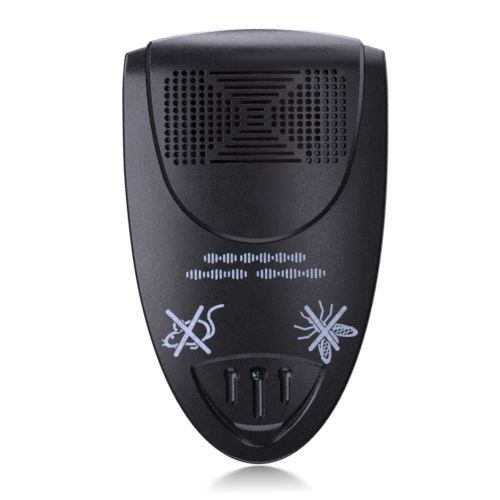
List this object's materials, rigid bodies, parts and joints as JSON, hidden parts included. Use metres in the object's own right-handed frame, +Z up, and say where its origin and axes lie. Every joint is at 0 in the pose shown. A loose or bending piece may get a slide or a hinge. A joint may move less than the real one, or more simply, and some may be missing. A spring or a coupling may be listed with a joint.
{
  "type": "ultrasonic pest repeller",
  "caption": "Shield-shaped plug-in repeller with a perforated sound cover, an indicator lamp recess and folding mains blades on its back.",
  "frame": {"origin": "midway between the two plug blades, in the plane of the wall that the rear cover rests on", "axes": "+Z up, +Y out of the back into the wall socket, +X to the right seen from the front; the front faces -Y"},
  "size_m": [0.07, 0.0541, 0.115],
  "materials": {
    "shell_plastic": "fine spark-eroded satin, purplish black",
    "cover_plastic": "fine spark-eroded satin, purplish black",
    "label_film": "silver-grey label film",
    "screw_steel": "zinc-plated steel",
    "plug_plastic": "glass-filled nylon",
    "blade_brass": "nickel-plated brass",
    "bracket_plastic": "natural nylon",
    "spring_bronze": "phosphor bronze",
    "speaker_plastic": "moulded plastic",
    "foam_gasket": "closed-cell foam",
    "cone_paper": "lacquered paper cone",
    "piezo_brass": "brass disc",
    "piezo_ceramic": "silvered ceramic",
    "tinned_tag": "tinned wire and tags",
    "clamp_steel": "pressed zinc-plated steel",
    "lamp_resin": "green tinted epoxy",
    "lamp_spacer_plastic": "nylon",
    "board_laminate": "phenolic laminate with solder mask",
    "insulation_film": "polyester film",
    "capacitor_sleeve": "shrink sleeve over an aluminium can",
    "film_case": "epoxy-filled box",
    "fuse_case": "moulded plastic",
    "varistor_coat": "dipped epoxy",
    "component_black": "moulded epoxy",
    "zener_glass": "glass bead",
    "resistor_coat": "enamel coating",
    "connector_nylon": "natural nylon",
    "bobbin_nylon": "moulded nylon",
    "enamel_copper": "enamelled copper wire",
    "ferrite": "sintered ferrite",
    "winding_tape": "polyester tape over enamelled wire",
    "wire_brown": "PVC insulation",
    "wire_blue": "PVC insulation",
    "wire_red": "PVC insulation"
  },
  "bodies": {
    "housing": {"front_shell": "shell_plastic", "speaker_cover": "cover_plastic", "rear_cover": "shell_plastic", "rating_label": "label_film", "case_screws": "screw_steel", "plug_bracket": "bracket_plastic", "bracket_screws": "screw_steel", "contact_spring_left": "spring_bronze", "contact_spring_right": "spring_bronze", "speaker_frame": "speaker_plastic", "speaker_gasket": "foam_gasket", "speaker_cone": "cone_paper", "piezo_plate": "piezo_brass", "piezo_ceramic": "piezo_ceramic", "speaker_back": "speaker_plastic", "speaker_terminals": "tinned_tag", "speaker_clamp": "clamp_steel", "clamp_screws": "screw_steel", "lamp_lens": "lamp_resin", "lamp_spacer": "lamp_spacer_plastic", "lamp_leads": "tinned_tag", "main_board": "board_laminate", "board_screws": "screw_steel", "insulation_sheet": "insulation_film", "electrolytic_capacitors": "capacitor_sleeve", "film_capacitor": "film_case", "fuse": "fuse_case", "varistor": "varistor_coat", "rectifier_diodes": "component_black", "zener_diode": "zener_glass", "resistors": "resistor_coat", "timer_chip": "component_black", "drive_transistors": "component_black", "speaker_connector": "connector_nylon", "coil_bobbin": "bobbin_nylon", "coil_winding": "enamel_copper", "coil_core": "ferrite", "transformer_core": "ferrite", "transformer_bobbin": "bobbin_nylon", "transformer_winding": "winding_tape", "live_wire": "wire_brown", "neutral_wire": "wire_blue", "speaker_wires": "wire_red"},
    "plug": {"plug_carrier": "plug_plastic", "blade_left": "blade_brass", "blade_right": "blade_brass"}
  },
  "joints": [
    {"name": "plug_fold", "type": "hinge", "parent": "housing", "child": "plug", "pos_m": [0, -0.0052, 0], "axis": [-1, 0, 0], "range_deg": [0, 90]}
  ]
}
